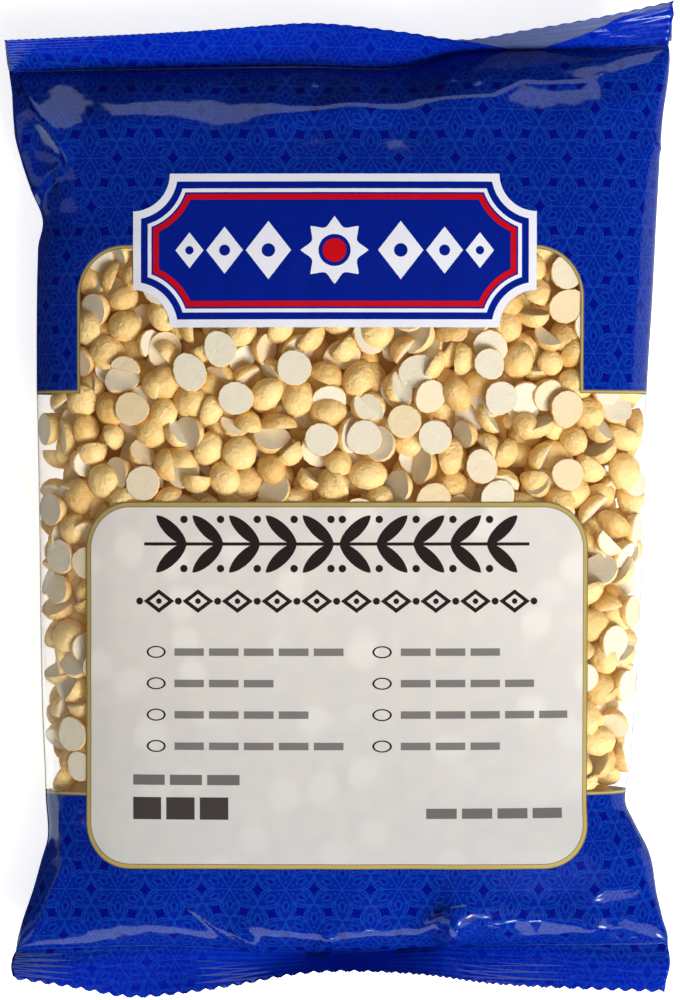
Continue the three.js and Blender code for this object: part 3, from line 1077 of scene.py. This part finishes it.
def behind_film(grains, base, normal):
    """The gap to the grains at each of the film's points, and whether a split face is there."""
    tree, skin = grains
    gap, pale = np.full(base.shape[:2], GAP_LIMIT), np.zeros(base.shape[:2])
    for index in np.ndindex(gap.shape):
        way = Vector(normal[index])
        start = Vector(base[index]) * MM + way * 0.0005
        _, _, face, distance = tree.ray_cast(start, -way, (GAP_LIMIT + 0.5) * MM)
        if face is not None:
            gap[index] = distance / MM - 0.5
            pale[index] = 1 - skin[face]
    return gap, pale


def crimp(x, along):
    """Height of the seals' fine ridges, which run across the bag."""
    over = np.clip((np.abs(along - MIDDLE) - (TOP_SEAL - MIDDLE)) / SEAL_WIDTH, 0, 1)
    middle, half, more = GLINT
    taller = 1 + more * np.exp(-((x - middle) / half) ** 2) * (along > 0)
    return CRIMP_HEIGHT * taller * np.sin(over * CRIMP_RIDGES * 2 * np.pi)


def film_mesh(settings, grains):
    """The printed web, wrapped round the bag and lapped down the middle of the back."""
    columns, rows = film_columns(), film_rows()
    around, along = np.meshgrid(columns, rows)
    in_front = np.abs(around) < GIRTH / 4
    x = TUBE.place(around, along)[..., 0]
    cut = through(FRONT_CUT)(x) / (top_edge(x) - top_line(x)) * in_front
    along = along - np.maximum(along - TOP_SEAL, 0) * cut
    base, normal = TUBE.place(around, along), TUBE.normal(around, along)

    # Puckers run out from the seals and fade
    from_seal = (TOP_SEAL - MIDDLE) - np.abs(along - MIDDLE)
    x, y = base[..., 0], base[..., 1]
    broad = np.sin(x * 0.27 + 1.1 * np.sin(x * 0.09 + 0.6))
    fine = np.sin(x * 0.83 + 1.3 * np.sin(x * 0.21 + along * 0.03))
    pucker = 0.5 * broad * np.exp(-((from_seal - 9) / 7) ** 2)
    pucker += 0.14 * fine * np.exp(-(np.maximum(from_seal, 0) / 6) ** 1.5)
    pucker *= smooth_step(0, 3, from_seal)
    from_turn = (along - through(TURN_LINE)(x)) / through(TURN_WIDTH)(x)
    shoulder = through(TURN_HEIGHT)(x) * np.exp(-from_turn ** 2)
    shoulder += 0.9 * np.exp(-((along + 91) / 3.5) ** 2) * roundness(x / 72) ** 2
    raised = (pucker + shoulder + crease_height(x, y)) * in_front

    filled = smooth_step(0.25, 0.7, fullness(along))
    in_view = smooth_step(0, 4, 23 - along) * smooth_step(0, 4, along + 62)
    window = smooth_step(0, 4, 53 - along) * smooth_step(0, 4, along - 20)
    window *= smooth_step(0, 4, 56 - np.abs(around))
    strength = filled * (0.2 + 0.25 * np.maximum(in_view, window))
    on_panel = smooth_step(0, 4, 53 - np.abs(around)) * smooth_step(0, 4, -along - 2)
    strength *= (1 - 0.75 * on_panel) * (base[..., 2] > 1.0)
    gap, pale = behind_film(grains, base, normal)
    room = least_near(np.minimum(gap - 0.05, settings.cling / MM))
    cling = np.minimum(soften(np.maximum(room, 0) * strength, 4), room)

    spot = base + normal * np.maximum(raised - cling, -room)[..., None]
    spot[..., 2] += crimp(x, along)
    wave = 0.5 - 2 * np.abs(np.mod(around / TOOTH_PITCH, 1) - 0.5)
    at_end = np.zeros_like(along)
    at_end[0], at_end[-1] = -TOOTH, TOP_TOOTH
    spot[..., 1] += wave * at_end
    lap = np.abs(around) - GIRTH / 2
    under = smooth_step(-1.5, 1.5, lap) * np.where(around > 0, 1.0, -0.4)
    spot[..., 2] -= 0.14 * under
    spot[..., 2] = np.maximum(spot[..., 2], 0.02)

    bm = bmesh.new()
    bmesh.ops.create_grid(bm, x_segments=len(columns) - 1, y_segments=len(rows) - 1, size=1)
    mesh = bpy.data.meshes.new("film_wrap")
    bm.to_mesh(mesh)
    bm.free()
    flat = np.empty(len(mesh.vertices) * 3)
    mesh.vertices.foreach_get("co", flat)
    flat = flat.reshape(-1, 3)
    column = np.rint((flat[:, 0] + 1) / 2 * (len(columns) - 1)).astype(int)
    row = np.rint((flat[:, 1] + 1) / 2 * (len(rows) - 1)).astype(int)
    mesh.vertices.foreach_set("co", (spot[row, column] * MM).ravel())
    corners = np.empty(len(mesh.loops), int)
    mesh.loops.foreach_get("vertex_index", corners)
    steps = np.linalg.norm(np.diff(base, axis=0), axis=2)
    run = np.concatenate([np.zeros((1, len(columns))), np.cumsum(steps, axis=0)])
    run -= run[np.argmin(np.abs(rows))] - rows[np.argmin(np.abs(rows))]
    share = np.stack([(around[row, column] - FLAT_LOW[0]) / FLAT_SIZE[0],
                      (run[row, column] - FLAT_LOW[1]) / FLAT_SIZE[1]], 1)
    layer = mesh.uv_layers.new(name="flat_film")
    layer.data.foreach_set("uv", share[corners].ravel())
    # These two attributes drive the panel's painted light: how close a grain lies behind the film,
    # and whether a split face shows there.
    near = np.exp(-np.maximum(gap, 0) / 0.9)
    for key, table in (("near", soften(near, 2)), ("pale", soften(pale, 1))):
        values = table[row, column].astype(np.float32)
        mesh.attributes.new(key, "FLOAT", "POINT").data.foreach_set("value", values)
    mesh.polygons.foreach_set("use_smooth", [True] * len(mesh.polygons))
    mesh.update()
    return mesh


def lining_mesh():
    """The back film's inner face where the front film ends short in the top seal."""
    bm = bmesh.new()
    bmesh.ops.create_grid(bm, x_segments=100, y_segments=10, size=1)
    for vert in bm.verts:
        left, right = 22.0, 71.2
        x = left + (right - left) * (vert.co.x + 1) / 2
        along = TOP_SEAL + SEAL_WIDTH * (0.1 + 0.44 * (vert.co.y + 1))
        share = (x - left_edge(along)) / (right_edge(along) - left_edge(along)) * 2 - 1
        spot = film_point(np.array(share), np.array(along), np.array(-1.0))
        vert.co = Vector((spot[0], spot[1], spot[2] + crimp(spot[0], along) + LINING_LIFT)) * MM
    mesh = bpy.data.meshes.new("seal_lining")
    bm.to_mesh(mesh)
    bm.free()
    return mesh


# -------------------------------------------------------------------------------------- operators


def add_piece(name, mesh, material):
    piece = bpy.data.objects.new(name, mesh)
    bpy.context.scene.collection.objects.link(piece)
    piece.data.materials.append(material)
    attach(piece, "root")
    return piece


class DALBAG_OT_grains(bpy.types.Operator):
    """Settle the split chickpeas against the film and join them by kind"""

    bl_idname = "dalbag.grains"
    bl_label = "Split chickpeas"

    def execute(self, context):
        settings = context.scene.dalbag_grains
        shapes = [split_chickpea(name, settings, FINE_SHAPE) for name in KINDS]
        hulls = [split_chickpea(name, settings, COARSE_SHAPE) for name in KINDS]
        packed = pack_under_film(settle(hulls, settings), shapes, settings)
        material = roasted_dal(settings)
        draw = np.random.default_rng(settings.seed + 1)
        group = bpy.data.collections.new("grains")
        for number, name in enumerate(KINDS):
            matrices = [matrix for kind, matrix in packed if kind == number]
            mesh = joined_grains(name, shapes[number], matrices, draw)
            piece = add_piece(name, mesh, material)
            group.objects.link(piece)
        core = add_piece("heap_core", core_mesh(), heap_shade(settings))
        return {"FINISHED"}


class DALBAG_OT_film(bpy.types.Operator):
    """Wrap the printed film round the bag, clinging to the grains"""

    bl_idname = "dalbag.film"
    bl_label = "Printed film"

    def execute(self, context):
        settings = context.scene.dalbag_film
        bm = bmesh.new()
        skins = []
        for name in KINDS:
            grains = bpy.data.objects[name].data
            bm.from_mesh(grains)
            skins.append(np.empty(len(grains.polygons), np.float32))
            grains.attributes["skin"].data.foreach_get("value", skins[-1])
        tree = BVHTree.FromBMesh(bm)
        bm.free()
        mesh = film_mesh(settings, (tree, np.concatenate(skins)))
        film = add_piece("film_wrap", mesh, printed_film(settings))
        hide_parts("filled_bag")
        lining = add_piece("seal_lining", lining_mesh(), film_inside(settings))
        return {"FINISHED"}


class DALBAG_OT_stage(bpy.types.Operator):
    """Lay the pale floor, set the soft lights and aim the camera"""

    bl_idname = "dalbag.stage"
    bl_label = "Stage"

    def execute(self, context):
        settings = context.scene.dalbag_studio
        scene = context.scene
        bm = bmesh.new()
        bmesh.ops.create_grid(bm, x_segments=1, y_segments=1, size=3)
        mesh = bpy.data.meshes.new("floor")
        bm.to_mesh(mesh)
        bm.free()
        floor = bpy.data.objects.new("floor", mesh)
        scene.collection.objects.link(floor)
        floor.data.materials.append(floor_paint(settings))
        floor.visible_glossy = False

        world = bpy.data.worlds.new("studio")
        world.use_nodes = True
        background = world.node_tree.nodes["Background"]
        background.inputs[0].default_value = (0.9, 0.95, 1, 1)
        background.inputs[1].default_value = 0.02
        scene.world = world
        scene.view_settings.view_transform = "Standard"

        lights = (
            # name, place, size, watts, and the kind of light that it leaves out
            ("key", (0.94, -0.96, 1.34), (1.0, 1.0), 60, "glossy"),
            ("overhead", (0.1, -0.25, 1.35), (0.8, 0.8), 3.5, "glossy"),
            ("sheen", (0.94, -0.96, 1.34), (0.6, 0.6), 60, "diffuse"),
            ("glint", (0.72, -0.62, 0.75), (0.13, 0.13), 1.2, "diffuse"),
            ("low_glint", (0.35, -1.0, 0.4), (0.12, 0.06), 0.5, "diffuse"),
            ("top_panel", (0.0, 0.95, 0.72), (1.3, 0.6), 3.6, "diffuse"),
            ("bottom_panel", (-0.2, -1.0, 0.2), (1.0, 0.4), 2.2, "diffuse"),
            ("left_panel", (-1.1, -0.1, 0.13), (0.15, 1.2), 0.25, "diffuse"),
            ("left_facet", (-0.75, -0.45, 0.4), (0.25, 0.3), 0.25, "diffuse"),
            ("right_facet", (0.7, -0.53, 0.5), (0.4, 0.5), 0.9, "diffuse"),
            # Glossy rays don't see the floor: these stand below it, for its light at the edges
            ("left_floor", (-0.42, -0.17, -0.2), (0.22, 0.36), 0.33, "diffuse"),
            ("right_floor", (0.87, -0.1, -0.5), (0.7, 1.5), 2.0, "diffuse"),
        )
        for name, place, size, watts, left_out in lights:
            data = bpy.data.lights.new(name, "AREA")
            data.shape = "RECTANGLE"
            data.size, data.size_y = size
            data.energy = watts
            data.color = (1, 1, 1) if left_out == "glossy" else (0.85, 1, 0.95)
            lamp = bpy.data.objects.new(name, data)
            lamp.location = place
            lamp.rotation_euler = (-Vector(place)).to_track_quat("-Z", "Y").to_euler()
            setattr(lamp, "visible_" + left_out, False)
            scene.collection.objects.link(lamp)
            if name == "sheen":
                lamp.light_linking.receiver_collection = bpy.data.collections["grains"]

        lens = bpy.data.cameras.new("camera")
        lens.sensor_fit = "VERTICAL"
        above = settings.camera_height - SEAM_HEIGHT * MM
        lens.angle = 2 * math.atan(settings.frame_height / 2 / above)
        camera = bpy.data.objects.new("camera", lens)
        camera.location = (0, 0, settings.camera_height)
        scene.collection.objects.link(camera)
        scene.camera = camera
        return {"FINISHED"}


class DALBAG_PT_panel(bpy.types.Panel):
    """Steps that build the bag, in order"""

    bl_idname = "DALBAG_PT_panel"
    bl_label = "Dal Bag"
    bl_space_type = "VIEW_3D"
    bl_region_type = "UI"
    bl_category = "Dal Bag"

    def draw(self, context):
        for operator in (DALBAG_OT_grains, DALBAG_OT_film, DALBAG_OT_stage):
            self.layout.operator(operator.bl_idname)
        for name in ("dalbag_film", "dalbag_grains", "dalbag_studio"):
            group = getattr(context.scene, name)
            column = self.layout.column()
            for key in group.__annotations__:
                column.prop(group, key)


CLASSES = (DalBagFilm, DalBagGrains, DalBagStudio, DALBAG_OT_grains, DALBAG_OT_film,
           DALBAG_OT_stage, DALBAG_PT_panel)


def register():
    for cls in CLASSES:
        bpy.utils.register_class(cls)
    bpy.types.Scene.dalbag_film = bpy.props.PointerProperty(type=DalBagFilm)
    bpy.types.Scene.dalbag_grains = bpy.props.PointerProperty(type=DalBagGrains)
    bpy.types.Scene.dalbag_studio = bpy.props.PointerProperty(type=DalBagStudio)


def unregister():
    del bpy.types.Scene.dalbag_film
    del bpy.types.Scene.dalbag_grains
    del bpy.types.Scene.dalbag_studio
    for cls in reversed(CLASSES):
        bpy.utils.unregister_class(cls)


def main():
    register()
    bpy.ops.dalbag.grains()
    bpy.ops.dalbag.film()
    bpy.ops.dalbag.stage()


if __name__ == "__main__":
    main()
